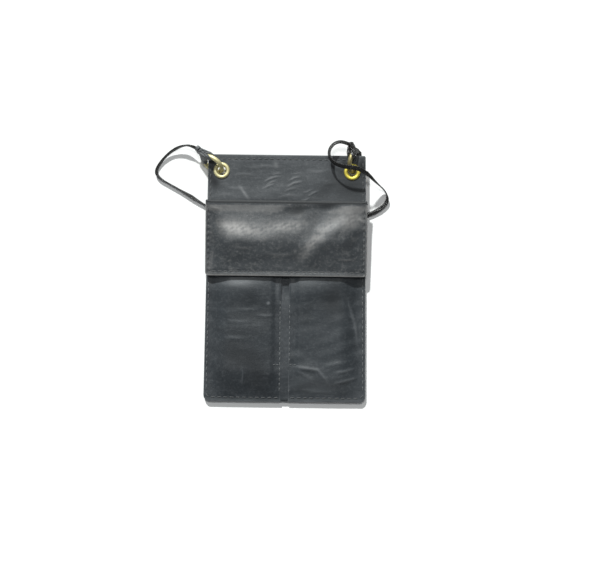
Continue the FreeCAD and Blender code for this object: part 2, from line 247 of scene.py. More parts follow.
def edge_bulge(inside, edge=edge_round):
    """Share of its full thickness that leather has at a distance inside its edge."""
    return np.sqrt(1 - (1 - np.clip(inside / edge, 0, 1)) ** 2)


def sheet(name, ys, left, right, under, thickness, material, relief=None, edge=edge_round, step=grid_step):
    """A flat piece of leather with rounded edges that lies on under(x, y)."""
    widest = float(np.max(right(ys) - left(ys)))
    u = stations(0, widest, step) / widest
    y = np.repeat(ys[:, None], len(u), axis=1)
    x = left(y) + (right(y) - left(y)) * u[None, :]
    inside = np.minimum.reduce([x - left(y), right(y) - x, y - ys[0], ys[-1] - y])
    bulge = thickness / 2 * edge_bulge(inside, edge)
    raised, worn_and_painted_light = relief(x, y) if relief else (np.zeros_like(x), np.zeros_like(x))
    raised = raised * smooth(inside / 1.6)
    middle = under(x, y) + thickness / 2
    top = np.stack([x, y, middle + bulge + raised], axis=-1)
    low = np.stack([x, y, middle - bulge + np.minimum(raised, 0)], axis=-1)
    rim = 1 - smooth(inside / 1.2)
    return two_sided(name, top, low, material, np.clip(worn_and_painted_light + 0.5 * rim, -1, 1))


def put(piece, body, slot_name, *nodes):
    """Attaches a piece to the body it moves with and hides the nodes it stands in for; slot_name is not used.
    """
    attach(piece, body)
    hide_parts(*nodes)


# ---- Materials ----
def set_inputs(made, inputs):
    """Sets a shader node's inputs, in whose names _ stands for a space."""
    for key, value in inputs.items():
        made.inputs[key.replace("_", " ")].default_value = value
    return made


def new_material(name, **inputs):
    """A material, its node tree, its shader, and the socket of the places on its piece."""
    material = bpy.data.materials.new(name)
    material.use_nodes = True
    tree = material.node_tree
    shader = set_inputs(tree.nodes["Principled BSDF"], inputs)
    return material, tree, shader, tree.nodes.new("ShaderNodeTexCoord").outputs["Object"]


def node(tree, kind, vector=None, **inputs):
    """A new shader node, laid out by a vector's socket if it takes one."""
    made = set_inputs(tree.nodes.new("ShaderNode" + kind), inputs)
    if vector is not None:
        tree.links.new(vector, made.inputs["Vector"])
    return made


def mix_colour(tree, factor, first, second):
    """Mixes two colours, each a tuple or an output socket, by a number's socket."""
    made = node(tree, "Mix")
    made.data_type = "RGBA"
    tree.links.new(factor, made.inputs["Factor"])
    for socket, value in ((made.inputs[6], first), (made.inputs[7], second)):
        if isinstance(value, tuple):
            socket.default_value = value
        else:
            tree.links.new(value, socket)
    return made.outputs[2]


def span(tree, value, low, high, to_low, to_high):
    """Maps a number from one range to another and holds it there."""
    made = node(tree, "MapRange", From_Min=low, From_Max=high, To_Min=to_low, To_Max=to_high)
    tree.links.new(value, made.inputs["Value"])
    return made.outputs["Result"]


def add_bumps(tree, shader, *bumps):
    """Roughens a surface by bumps, each a height's socket, a strength and a depth in metres."""
    last = None
    for height, strength, distance in bumps:
        bump = node(tree, "Bump", Strength=strength, Distance=distance)
        tree.links.new(height, bump.inputs["Height"])
        if last is not None:
            tree.links.new(last, bump.inputs["Normal"])
        last = bump.outputs["Normal"]
    tree.links.new(last, shader.inputs["Normal"])


def grey(level, warmth=0.0):
    """A linear grey that leans to blue below zero warmth and to brown above it."""
    return (level * (1 + warmth), level, level * (1 - warmth), 1.0)


def leather_material(name, base, dark, pale, roughness, grain, streak=(1, 1, 1), coat=0.0):
    """Aniline leather: cloudy colour, pebbled grain, fine creases, pale where it is rubbed or carries a
    painted highlight, and dark where it is dirty or carries painted shade. Each colour is a level and a
    warmth for grey()."""
    base, dark, pale = grey(*base), grey(*dark), grey(*pale)
    material, tree, shader, place = new_material(name, Specular_IOR_Level=0.4, Coat_Weight=coat,
                                                 Coat_Roughness=0.5)
    stretched = node(tree, "Mapping", place, Scale=streak).outputs["Vector"]

    def noise(scale, detail, source=place):
        return node(tree, "TexNoise", source, Scale=scale, Detail=detail, Roughness=0.6).outputs["Fac"]

    clouds = noise(38.0, 3.0)
    mottling = noise(420.0, 4.0)
    streaks = noise(260.0, 5.0, stretched)
    pores = noise(5200.0, 2.0)
    cells = node(tree, "TexVoronoi", place, Scale=grain)
    cells.feature = "DISTANCE_TO_EDGE"
    wear_and_painted_light = node(tree, "Attribute")
    wear_and_painted_light.attribute_name = "wear_and_painted_light"
    worn_and_painted_light = wear_and_painted_light.outputs["Fac"]

    # The dark end of the attribute: real dirt, and painted shade and painted shadows.
    soil_and_painted_shade = (*(0.35 * c for c in dark[:3]), 1.0)
    colour = dark
    for cause, low, high, most, other in (
            (clouds, 0.38, 0.62, 1, base), (mottling, 0.5, 0.85, 0.28, pale), (streaks, 0.55, 0.8, 0.2, pale),
            (worn_and_painted_light, 0, 1, 0.85, pale), (worn_and_painted_light, 0, -1, 1, soil_and_painted_shade)):
        colour = mix_colour(tree, span(tree, cause, low, high, 0, most), colour, other)
    tree.links.new(colour, shader.inputs["Base Color"])
    dull = node(tree, "Math")
    tree.links.new(span(tree, mottling, 0.3, 0.7, roughness - 0.06, roughness + 0.08), dull.inputs[0])
    tree.links.new(span(tree, worn_and_painted_light, 0, -1, 0, 0.35), dull.inputs[1])
    tree.links.new(dull.outputs[0], shader.inputs["Roughness"])
    hollow = span(tree, cells.outputs["Distance"], 0.0, 0.12, 0, 1)
    add_bumps(tree, shader, (hollow, 0.45, 0.00012), (streaks, 0.5, 0.0004), (pores, 0.25, 0.00005))
    return material


def brass_material(name, base, tarnish, roughness):
    """Plated brass, dulled and spotted where it has been handled."""
    material, tree, shader, place = new_material(name, Metallic=0.85)
    clouds = node(tree, "TexNoise", place, Scale=300.0, Detail=4.0, Roughness=0.6).outputs["Fac"]
    scuffs = node(tree, "TexNoise", place, Scale=2600.0, Detail=3.0, Roughness=0.7).outputs["Fac"]
    dulled = span(tree, clouds, 0.45, 0.7, 0, 1)
    tree.links.new(mix_colour(tree, dulled, base, tarnish), shader.inputs["Base Color"])
    tree.links.new(span(tree, clouds, 0.4, 0.7, roughness, roughness + 0.16), shader.inputs["Roughness"])
    add_bumps(tree, shader, (scuffs, 0.2, 0.00006))
    return material


def thread_material(name, base, pale):
    """Twisted polyester thread."""
    material, tree, shader, place = new_material(name, Roughness=0.6, Sheen_Weight=0.25)
    ply = node(tree, "TexWave", place, Scale=420.0, Distortion=1.5)
    ply.bands_direction = "DIAGONAL"
    twist = ply.outputs["Fac"]
    tree.links.new(mix_colour(tree, twist, base, pale), shader.inputs["Base Color"])
    add_bumps(tree, shader, (twist, 0.5, 0.0001))
    return material


def pile_material(name, base, pale, scale):
    """The nap of a hook and loop patch."""
    material, tree, shader, place = new_material(name, Roughness=0.85, Sheen_Weight=0.4)
    tufts = node(tree, "TexVoronoi", place, Scale=scale, Randomness=0.6)
    top = span(tree, tufts.outputs["Distance"], 0, 0.6, 1, 0)
    tree.links.new(mix_colour(tree, top, base, pale), shader.inputs["Base Color"])
    add_bumps(tree, shader, (top, 0.9, 0.0005))
    return material


body_leather = leather_material("grey_leather", (0.032, -0.17), (0.022, -0.19), (0.140, -0.06), 0.49,
        1150.0, (0.35, 1, 1), 0.10)
tab_leather = leather_material("tab_leather", (0.063, -0.09), (0.045, -0.11), (0.215, -0.03), 0.54, 1150.0,
        (0.22, 1, 1), 0.04)
flap_leather = leather_material("flap_leather", (0.046, -0.11), (0.034, -0.13), (0.300, 0.03), 0.42, 1150.0,
        (0.5, 1, 1), 0.22)
lining_leather = leather_material("lining_leather", (0.10, 0.03), (0.075, 0.03), (0.17, 0.04), 0.7, 1700.0)
lace_leather = leather_material("lace_leather", (0.012, 0.02), (0.007, 0.02), (0.045, 0.03), 0.24, 1900.0,
        (1, 1, 1), 0.0)
brass = brass_material("brass", (0.72, 0.67, 0.40, 1), (0.54, 0.49, 0.28, 1), 0.58)
# Painted reflection: a more saturated yellow copy of the brass for the right grommet and washer, standing in
# for light bouncing round inside the bore.
reflection_gilt = brass_material("painted_reflection_brass", (0.84, 0.73, 0.14, 1), (0.70, 0.58, 0.10, 1), 0.54)
# Painted shade: a darker copy of the brass for the right ring, which lies in the knot's shadow.
shaded_ring_brass = brass_material("painted_shade_brass", (0.34, 0.30, 0.15, 1), (0.20, 0.17, 0.08, 1), 0.50)
thread = thread_material("grey_thread", grey(0.060, -0.06), grey(0.12, -0.05))
# Painted light: a lighter copy of the lace's leather for the left knot, which stands in the light; the right
# knot keeps the lace's own dark leather.
lit_knot_leather = leather_material("lit_knot_leather", (0.100, -0.06), (0.055, -0.06), (0.26, 0.0), 0.38, 1900.0,
        (1, 1, 1), 0.15)
# Painted shade: a darker copy of the grey thread for stitches that sit in shadowed holes, on the pockets'
# bottom edge, the tab and the flap.
shaded_thread = thread_material("shaded_thread", grey(0.045, -0.04), grey(0.09, -0.04))
hooks = pile_material("hook_nylon", grey(0.018), grey(0.05), 700.0)
loops = pile_material("loop_nylon", grey(0.03), grey(0.08), 900.0)


# ---- Camera, light and floor ----
def make_camera():
    """Looks straight down from far away, turned a little, as the pouch was laid."""
    view_width = 468.0
    distance = 1400.0
    sensor = 36.0
    aim = (11.3, 23.1, 9.0)
    camera = add_object("camera", bpy.data.cameras.new("camera"))
    camera.data.sensor_width = sensor
    camera.data.lens = sensor * distance / view_width
    camera.location = (aim[0] * MM, aim[1] * MM, (aim[2] + distance) * MM)
    camera.rotation_euler = (0, 0, math.radians(0.7))
    camera.data.clip_start = 0.01
    bpy.context.scene.camera = camera


def add_light(name, kind, place, target, **settings):
    """A light that shines from a place in metres to a target."""
    light = add_object(name, bpy.data.lights.new(name, kind))
    for key, value in settings.items():
        setattr(light.data, key, value)
    light.location = place
    light.rotation_euler = (Vector(target) - Vector(place)).to_track_quat("-Z", "Y").to_euler()


def make_light():
    """A soft key from beyond the tab, a softbox almost overhead for the sheen, and a pale room."""
    target = (0, 0.04, 0)
    add_light("key", "SUN", (-0.36, 1.30, 0.92), target, energy=4.4, angle=math.radians(3),
              color=(0.975, 1, 0.985))
    add_light("softbox", "AREA", (0.05, 1.10, 2.90), target, energy=24, shape="RECTANGLE",
              size=0.7, size_y=0.45, color=(0.985, 1, 0.985))
    world = bpy.data.worlds.new("studio")
    bpy.context.scene.world = world
    world.use_nodes = True
    set_inputs(world.node_tree.nodes["Background"], {"Color": (0.94, 0.97, 1, 1), "Strength": 0.20})
    bpy.context.scene.view_settings.view_transform = "Standard"


def make_floor():
    """A plain pale floor under the pouch."""
    half = 3.0
    mesh = bpy.data.meshes.new("floor")
    mesh.from_pydata([(-half, -half, 0), (half, -half, 0), (half, half, 0), (-half, half, 0)],
                     [], [(0, 1, 2, 3)])
    mesh.materials.append(new_material("floor", Base_Color=(0.93, 0.93, 0.93, 1), Roughness=0.9)[0])
    floor = add_object("floor", mesh)


# ---- Lace ----
# Points that the lace follows, in mm from the centre of the eyelet on its side.
left_route = [
    (-18.1, 16, 0.5), (-24.1, 19.5, -0.9), (-32.1, 19.2, -3.5), (-40.6, 14.6, -5.9), (-47.6, 7.5, -7.1),
    (-52.2, -0.4, -7.1), (-49.8, -5.6, -7.1), (-37.7, -12.2, -7.1), (-27.5, -17.8, -7.1),
    (-18.5, -23.4, -7.1), (-9.1, -28.5, -7.1), (-0.5, -25.8, -7.1), (3.7, -17.4, -7.1),
    (8.3, -10.5, -6.7), (15.9, -10.5, -6.7),
]
right_route = [
    (-1.1, 20.6, 3.1), (-7.1, 23.6, 4.7), (-14.5, 22.2, 6.6), (-19.1, 15.2, 9), (-16.7, 7.2, 10.4),
    (-7.7, 3.2, 12.8), (2.5, 2.8, 13.6), (11.5, -1.4, 9.8), (18.7, -8.2, 1.2), (26.3, -13.8, -5.9),
    (28.9, -21.2, -7.1), (23.3, -28, -7.1), (13.3, -33.2, -7.1), (3.3, -34.5, -7.1),
    (-2.3, -26.5, -7.1), (-4.5, -17.8, -7.1), (-8.5, -10.5, -6.7), (-15.9, -10.5, -6.7),
]
# How far the flat lace is turned out of the level at each of those points, degrees.
left_twist = [40, 78, 57, 65, 58, 50, 88, 85, 50, 84, 84, 60, 20, 0, 0]
right_twist = [30, 40, 44, 58, 40, 12, 5, 55, 87, 82, 25, 0, 0, 5, 0, 0, 0, 0]
# Half the width of each turn of the hank, and its height, from its centre line, mm.
hank_turns = [(12.0, 0.9), (8.4, 0.9), (8.4, 2.7), (12.0, 2.7), (8.4, 4.5), (12.0, 4.5)]
hank_run = 21.0            # half the straight part of a turn


def hank_points():
    """The turns of the hank, clockwise from its left end; the last one stops halfway."""
    y_middle = (hank_low[1] + hank_high[1]) / 2
    stops = [165, 135, 105, 90, 90, 75, 45, 15, -15, -45, -75, -90, -90, -105, -135, -165]
    runs = [-1] * 4 + [1] * 8 + [-1] * 4
    points = []
    for (wide, high), (next_wide, next_high) in zip(hank_turns, hank_turns[1:] + hank_turns[-1:]):
        for i, (stop, run) in enumerate(zip(stops, runs)):
            share = float(smooth((i - 9) / 6))
            half = wide + (next_wide - wide) * share
            height = high + (next_high - high) * share
            turn = math.radians(stop)
            points.append((run * hank_run + half * math.cos(turn), y_middle + half * math.sin(turn), height))
    left_off = 9
    return [tuple(c * MM for c in p) for p in points[:-left_off]]


def lace_route():
    """Every point of the lace from the left knot, through the hank, to the right knot."""
    ends = {}
    for side, offsets in (("left", left_route), ("right", right_route)):
        ends[side] = [tuple((c + d) * MM for c, d in zip(eyelets[side], o)) for o in offsets]
    middle = hank_points()
    twists = left_twist + [0] * len(middle) + right_twist[::-1]
    return ends["left"] + middle + ends["right"][::-1], twists


def smooth_line(points):
    """Points along the NURBS spline that has these control points."""
    data = bpy.data.curves.new("lace_line", "CURVE")
    data.dimensions = "3D"
    data.resolution_u = 10
    spline = data.splines.new("NURBS")
    spline.points.add(len(points) - 1)
    for target, point in zip(spline.points, points):
        target.co = (*point, 1)
    spline.order_u = 3
    spline.use_endpoint_u = True
    curve = add_object("lace_line", data)
    bpy.context.view_layer.update()
    mesh = bpy.data.meshes.new_from_object(curve)
    line = np.array([v.co for v in mesh.vertices], float)
    bpy.data.objects.remove(curve)
    bpy.data.meshes.remove(mesh)
    return line


def arc(cx, cy, r, start, end, count=7):
    """Points round an arc."""
    turns = np.radians(np.linspace(start, end, count))
    return [(cx + r * math.cos(a), cy + r * math.sin(a)) for a in turns]


def unit(vectors):
    """The rows of an array, each made 1 long."""
    return vectors / np.linalg.norm(vectors, axis=1)[:, None]


def flat_section(width, thickness, count=5):
    """A flat lace's cross-section: a rectangle with round edges."""
    r = thickness / 2
    flat = width / 2 - r
    return arc(flat, 0, r, -90, 90, count) + arc(-flat, 0, r, 90, 270, count)


def swept(line, widthwise, section, closed=False):
    """Vertices and faces of a cross-section carried along a line, its width along widthwise."""
    line = np.asarray(line, float)
    widthwise = np.asarray(widthwise, float)
    if closed:
        along = unit(np.roll(line, -1, axis=0) - np.roll(line, 1, axis=0))
    else:
        along = unit(np.gradient(line, axis=0))
    widthwise = unit(widthwise - along * (widthwise * along).sum(1)[:, None])
    up = np.cross(along, widthwise)
    around = len(section)
    rings = len(line)
    vertices = [line[i] + widthwise[i] * a + up[i] * b for i in range(rings) for a, b in section]
    faces = []
    for i in range(rings if closed else rings - 1):
        here, ahead = i * around, ((i + 1) % rings) * around
        for j in range(around):
            k = (j + 1) % around
            faces.append((here + j, here + k, ahead + k, ahead + j))
    if not closed:
        faces.append(tuple(range(around))[::-1])
        faces.append(tuple((rings - 1) * around + j for j in range(around)))
    return vertices, faces


def joined(parts):
    """Several (vertices, faces) as one."""
    vertices, faces = [], []
    for some, these in parts:
        base = len(vertices)
        vertices.extend(some)
        faces.extend(tuple(base + i for i in face) for face in these)
    return vertices, faces


def lace_piece(name, parts, material, lowest, *nodes):
    """A piece of lace made of swept parts, with nothing below a height."""
    vertices, faces = joined(parts)
    piece = mesh_object(name, [(x, y, max(z, lowest)) for x, y, z in vertices], faces, material)
    put(piece, "root", "lace", *nodes)
    return piece


def make_lace():
    """The whole lace as one flat band. Also gives its line and its length, in metres."""
    points, twists = lace_route()
    line = smooth_line(points)
    length = float(np.linalg.norm(np.diff(line, axis=0), axis=1).sum())
    at = np.linspace(0, len(line) - 1, len(points))
    twist = np.radians(np.interp(np.arange(len(line)), at, twists))[:, None]
    along = unit(np.gradient(line, axis=0))
    level = unit(np.cross(along, (0, 0, 1)))
    widthwise = level * np.cos(twist) + np.cross(level, along) * np.sin(twist)
    band = swept(line / MM, widthwise, flat_section(lace_width, lace_t))
    lace = lace_piece("neck_lace", [band], lace_leather, 0.02, "lace_left", "lace_right", "lace_hank")
    return lace, line, length


def joint_place(name):
    """A joint's point in millimetres and the direction of its axis."""
    joint = next(j for j in frame["joints"] if j["name"] == name)
    return Vector(joint["pos_m"]) / MM, Vector(joint["axis"]).normalized()


# ---- Knots ----
# Where each fold goes round its ring, in degrees from the lace, and how far beside the
# lace it ends, mm.
knot_folds = {
    "left": [(-56, -1.0), (-34, -0.5), (-12, 0.0), (10, 0.5), (32, 1.0)],
    "right": [(-44, -1.3), (-22, -0.8), (0, -0.3), (22, 0.2), (44, 0.7), (66, 1.2)],
}


def ring_sizes(side, centre, axis):
    """Mean radius and wire radius of a ring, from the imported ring's own mesh."""
    points = np.array([v.co for v in frame["nodes"][side + "_ring"].data.vertices], float) / MM
    offset = points - np.array(centre)
    along = offset @ np.array(axis)
    away = np.linalg.norm(offset - along[:, None] * np.array(axis), axis=1)
    return float(away.min() + away.max()) / 2, float(away.max() - away.min()) / 2


def make_knot(side, lace_end):
    """The lace doubled round its ring in a fan of folds, which a turn of lace draws together."""
    centre, axis = joint_place(side + "_ring_turn")
    leave = Vector(lace_end) / MM
    mean_r, wire_r = ring_sizes(side, centre, axis)
    middle = leave - centre
    middle = (middle - axis * middle.dot(axis)).normalized()
    aside = axis.cross(middle)
    if aside.z > 0:
        aside = -aside
    out = axis if axis.z > 0 else -axis
    bend = wire_r + lace_t / 2 + 0.1
    parts = []
    for number, (turn, spread) in enumerate(knot_folds[side]):
        a = math.radians(turn)
        radial = middle * math.cos(a) + aside * math.sin(a)
        along = aside * math.cos(a) - middle * math.sin(a)
        wire = centre + radial * mean_r
        foot = wire + radial * bend * 0.4
        meet = leave + along * spread
        legs = [(foot.lerp(meet, share), out * (bend * (1 - share) + (0.9 - 0.25 * number) * share))
                for share in (1.0, 0.8, 0.6, 0.4, 0.2)]
        line = [place + rise for place, rise in legs]
        for b in np.radians(range(105, 256, 15)):
            line.append(wire + out * (bend * math.sin(b)) + radial * (bend * math.cos(b)))
        line += [place - rise for place, rise in legs[::-1]]
        parts.append(swept(line, [along] * len(line), flat_section(3.5, lace_t)))
    heading = (leave - centre - middle * (mean_r - 2)).normalized()
    cross = heading.cross(axis).normalized()
    deep = cross.cross(heading).normalized()
    for back, tilt, wide_half, deep_half in ((1.4, 18, 3.0, 2.0), (-0.9, -20, 2.3, 1.8)):
        lean = math.radians(tilt)
        first = (cross * math.cos(lean) + heading * math.sin(lean)).normalized()
        loop = [leave - heading * back + first * (wide_half * math.cos(a)) + deep * (deep_half * math.sin(a))
                for a in np.linspace(0, 2 * math.pi, 28, endpoint=False)]
        outward = [first.cross(deep)] * len(loop)
        parts.append(swept(loop, outward, flat_section(2.9, lace_t), closed=True))
    # The left knot gets the lighter, painted-light copy of the lace leather.
    material = lit_knot_leather if side == "left" else lace_leather
    return lace_piece("lace_knot_" + side, parts, material, 0.05, "knot_" + side)


def make_tie():
    """A strip of lace wound twice round the hank's waist."""
    y_middle = (hank_low[1] + hank_high[1]) / 2
    half_y = (hank_high[1] - hank_low[1]) / 2 - 0.5
    half_z = (hank_high[2] - hank_low[2]) / 2
    parts = []
    for shift in (-1.6, 1.6):
        loop = []
        for a in np.linspace(0, 2 * math.pi, 48, endpoint=False):
            c, s = math.cos(a), math.sin(a)
            y = half_y * math.copysign(abs(c) ** 0.45, c)
            z = (half_z - 0.55) * math.copysign(abs(s) ** 0.45, s)
            loop.append((shift + 0.4 * s, y_middle + y, half_z + z))
        parts.append(swept(loop, [(1, 0, 0)] * len(loop), flat_section(2.9, 0.9), closed=True))
    return lace_piece("hank_wrap", parts, lace_leather, 0.02, "hank_tie")


# ---- Leather ----
def side_left(y):
    """X of the pouch's left side."""
    pulled = rounded(y, y_bottom, bottom_corner_r, 1) + rounded(y, y_top, top_corner_r, -1)
    return pulled - half_width(y)


def side_right(y):
    return -side_left(y)


def back_under(x, y):
    """Underside of the back: flat, then an even rise to the tab."""
    return tab_rise * smooth((y - y_bend) / bend_length)


def stitch_groove(x, y, left, right, low, high, depth=0.22):
    """A shallow channel along the sewn lines, deeper under each stitch."""
    across = np.minimum(abs(x - left), abs(right - x))
    along = np.minimum(abs(y - low), abs(high - y))
    run = np.where(across < along, y, x)
    pucker = 0.65 + 0.35 * np.cos(2 * math.pi * run / stitch_pitch)
    return -depth * pucker * np.exp(-(np.minimum(across, along) / 0.9) ** 2)


def tab_relief(x, y):
    """Creases where the tab has been handled, a pale scratch, a dip round each eyelet, and painted shadows of
    the rings, knots and lace loop.
    """
    on_tab = smooth((y - y_fold + 4) / 8)
    raised = 0.1 * ripple(x, y, 5, 30, 7, stretch=2.6)
    creases = [
        ([(-18.5, 107.2), (-13.5, 110), (-8.5, 111.6), (-5, 111.4)], 0.55, 0.6),
        ([(-19.5, 101.8), (-14, 104.6), (-9, 106.2)], 0.55, 0.5),
        ([(-16.5, 104.6), (-12, 107.4), (-7.5, 108.6)], 0.5, 0.45),
        ([(-12.5, 112.8), (-8, 114.2), (-4, 114)], 0.5, 0.3),
        ([(-1, 103.2), (5.5, 106.8), (12.5, 108.4)], 0.6, 0.65),
        ([(1, 108.4), (6, 111), (10.5, 111.8)], 0.55, 0.5),
        ([(-2, 100.4), (3, 102.4), (8.5, 103)], 0.5, 0.4),
        ([(3, 113.2), (8.5, 114.6), (13, 114.4)], 0.5, 0.26),
        ([(15.5, 96), (20, 98.8), (25.5, 101.4)], 0.6, 0.5),
        ([(12.5, 98.8), (17.5, 101), (21.5, 103)], 0.5, 0.3),
        ([(10, 91.8), (15, 93.8), (19, 96)], 0.55, 0.4), ([(-7, 95.6), (2, 97.4), (9.5, 96.8)], 0.9, 0.24),
        ([(-45, 112), (-34, 113.4), (-23, 112.4)], 1.1, 0.2),
        ([(-31, 118.5), (-16, 120), (-3, 119)], 1, 0.22),
        ([(14, 117), (24, 115.8), (34, 117.2)], 1.1, 0.22),
        ([(-50, 103.5), (-40, 102.2), (-29, 103)], 1, 0.18),
        ([(24, 109.5), (32, 108), (41, 109)], 0.9, 0.2), ([(-57, 96), (-48, 97.6), (-40, 96.6)], 1, 0.2),
    ]
    lines = ridges(x, y, *creases)
    scratch = ridge(x, y, [(-38, 105.5), (-33, 98.5), (-28.5, 92.5)], 1, 0.12)
    spot = dent(x, y, (-8.6, 121), (1.6, 2.4), 30, 0.12)
    raised = raised + 0.75 * lines + scratch + spot
    raised += dent(x, y, (-20, 96), (30, 6), 4, 0.5)
    for cx, cy, _ in eyelets.values():
        away = np.hypot(x - cx, y - cy)
        raised = raised * smooth((away - 6) / 3) - 0.25 * np.exp(-((away - 6.6) / 1.2) ** 2)
    inner = half_width(y) - stitch_side - 0.1
    raised += stitch_groove(x, y, -inner, inner, y_bottom - 50, y_top - stitch_end, 0.16)
    worn_and_painted_light = np.clip(1.3 * lines, 0, 0.5) + 6 * scratch + 4 * spot
    # Painted shadows: the tab's right part inside the lace loop's shadow, the left ring and knot's shadow
    # below the left eyelet, and the right knot's shadow beside the right ring.
    worn_and_painted_light -= dents(x, y, ((50, 106), (15, 14), 20, 0.75), ((-55.8, 106.5), (4, 5.5), 0, 0.85),
        ((-59.4, 114), (2.8, 6.5), 0, 0.8), ((58.8, 120.5), (3.6, 6.5), 0, 0.9),
        ((44.5, 123.5), (3.4, 4.5), 0, 0.7))
    # Painted shadow of the lace loop: a soft band running down and left across the tab.
    worn_and_painted_light -= ridge(x, y, [(44, 116), (28, 101), (13, 91)], 5, 0.35)
    return raised * on_tab, np.clip(worn_and_painted_light, -1, 1) * on_tab


def punch(obj):
    """Cuts the eyelets' holes through a sheet."""
    for side, (cx, cy, _) in eyelets.items():
        tool = bmesh.new()
        bmesh.ops.create_cone(tool, cap_ends=True, segments=40, radius1=hole_r * MM, radius2=hole_r * MM,
                              depth=0.02)
        mesh = bpy.data.meshes.new("punch_" + side)
        tool.to_mesh(mesh)
        tool.free()
        cutter = add_object("punch_" + side, mesh)
        cutter.location = (cx * MM, cy * MM, (tab_rise + 1) * MM)
        modifier = obj.modifiers.new("hole_" + side, "BOOLEAN")
        modifier.object = cutter
        modifier.solver = "EXACT"
    bpy.context.view_layer.update()
    graph = bpy.context.evaluated_depsgraph_get()
    cut = bpy.data.meshes.new_from_object(obj.evaluated_get(graph))
    obj.modifiers.clear()
    obj.data = cut
    for side in eyelets:
        bpy.data.objects.remove(bpy.data.objects["punch_" + side])


def make_back():
    coarse = stations(y_bottom, y_top, 3)
    fine = stations(y_bottom, y_top, 0.8)
    ys = np.concatenate([coarse[coarse < y_mouth - 2], fine[fine > y_mouth - 1]])
    panel = sheet("back_leather", coarse, side_left, side_right, back_under, leather, body_leather,
                  lambda x, y: (-0.06 * np.abs(ripple(x, y, 3, 40, 12)), 0 * x), step=2)
    lining = sheet("tab_lining", ys, side_left, side_right, lambda x, y: back_under(x, y) + leather,
                   lining_t, tab_leather, tab_relief)
    punch(panel)
    put(panel, "root", "leather", "back_panel")
    punch(lining)
    put(lining, "root", "lining", "back_lining")


def panel_climb(x, y, left_seam=True, right_seam=True):
    """0 on a panel's sewn margins and 1 where it stands at its full height."""
    edge = bottom_width / 2
    climb = smooth((y - y_bottom - seam + 6) / foot_ramp)
    if left_seam:
        climb = climb * smooth((x + edge - seam) / ramp)
    if right_seam:
        climb = climb * smooth((edge - seam - x) / ramp)
    return climb


def front_under(x, y):
    """Underside of the front panel."""
    return z_inside + (z_front - z_inside) * panel_climb(x, y)


def front_relief(x, y):
    """A firm mouth, and a strip between the pockets that is as high as they are."""
    raised = 0.12 * ripple(x, y, 11, 40, 10, stretch=1.6)
    raised += dent(x, y, (0, y_mouth - 1.6), (70, 0.9), 0, 0.35)
    between = smooth((x - left_high[0] + 1.3) / 0.9) * smooth((right_low[0] + 1.3 - x) / 0.9)
    between = between * smooth((23 - y) / 12)
    # The strip is also painted a little paler: painted light that fills the shade where it lies lower than
    # the pockets.
    return raised + 0.95 * between, 0.12 * between


def make_front():
    ys = stations(y_bottom, y_mouth)
    panel = sheet("front_leather", ys, side_left, side_right, front_under, leather, body_leather,
                  front_relief)
    put(panel, "root", "leather", "front_panel")


def pocket_under(side):
    """Underside of a pocket, sewn down at the pouch's side, bottom and its own inner edge."""
    inner = left_high[0] if side == "left" else right_low[0]

    def under(x, y):
        outer = panel_climb(x, y, side == "left", side == "right")
        run = inner - x if side == "left" else x - inner
        low = z_inside + leather
        inside = z_front + leather
        top = inside + (z_pocket - inside) * smooth((run - pocket_margin) / pocket_ramp)
        return low + (top - low) * outer

    return under


def pocket_edges(x, y):
    """The firm mouth of a pocket, and the pale rub along its bottom edge."""
    return dent(x, y, (0, y_pocket - 1.6), (70, 0.9), 0, 0.3), 0.35 * smooth(y_bottom + 3.2 - y)


def left_relief(x, y):
    """Soft rolls across the left pocket, its bulge, and the line of a card's corner, with a painted highlight
    on the top of the bulge and painted shade lower down.
    """
    mouth, rub = pocket_edges(x, y)
    raised = 0.16 * ripple(x, y, 21, 34, 9, stretch=2.2) + mouth
    raised += dents(x, y, ((-34, 23), (26, 10), 0, 1.3), ((-30, -8), (24, 9), 3, 0.35),
        ((-42, -38), (18, 8), -8, 0.5), ((-24, -46), (7, 12), 0, -0.35))
    creased = ridges(x, y, ([(-33.5, -35), (-32.5, -43), (-33.5, -53)], 0.9, 0.35),
        ([(-24, 3.8), (-16, 3), (-8, 4)], 1, 0.28), ([(-50, -0.5), (-36, -2), (-22, -1)], 1.3, 0.22),
        ([(-54, -13), (-40, -14.5), (-27, -13.5)], 1.4, 0.2),
        ([(-47, 9.5), (-30, 8), (-16, 8.8)], 1.4, 0.18))
    worn_and_painted_light = np.clip(1.6 * creased, 0, 0.5) + rub
    # Painted highlight along the top of the pocket just under the flap; a pale mark beside the slit and a
    # pale fleck.
    worn_and_painted_light += dents(x, y, ((-38, 29.5), (16, 3.4), 0, 0.55), ((-36, 29), (13, 3.2), 0, 0.45),
        ((-6.5, 22), (1.6, 6), 0, 0.35), ((-13.4, 13), (1.1, 1.1), 0, 1.6))
    worn_and_painted_light += ridges(x, y, ([(-60, 9), (-40, 7), (-16, 9)], 1.8, 0.28),
        ([(-60, -3), (-36, -5), (-14, -3)], 2.2, 0.26), ([(-60, -15), (-38, -14), (-18, -17)], 2, 0.2))
    # Painted shade over the middle and lower part of the pocket and in the hollow by the card's corner.
    worn_and_painted_light -= dents(x, y, ((-34, -31), (18, 11), 0, 0.45), ((-30, 8), (22, 12), 0, 0.22),
        ((-22, -44), (9, 13), 0, 0.35), ((-45, -18), (14, 12), 0, 0.25))
    return raised + creased, worn_and_painted_light


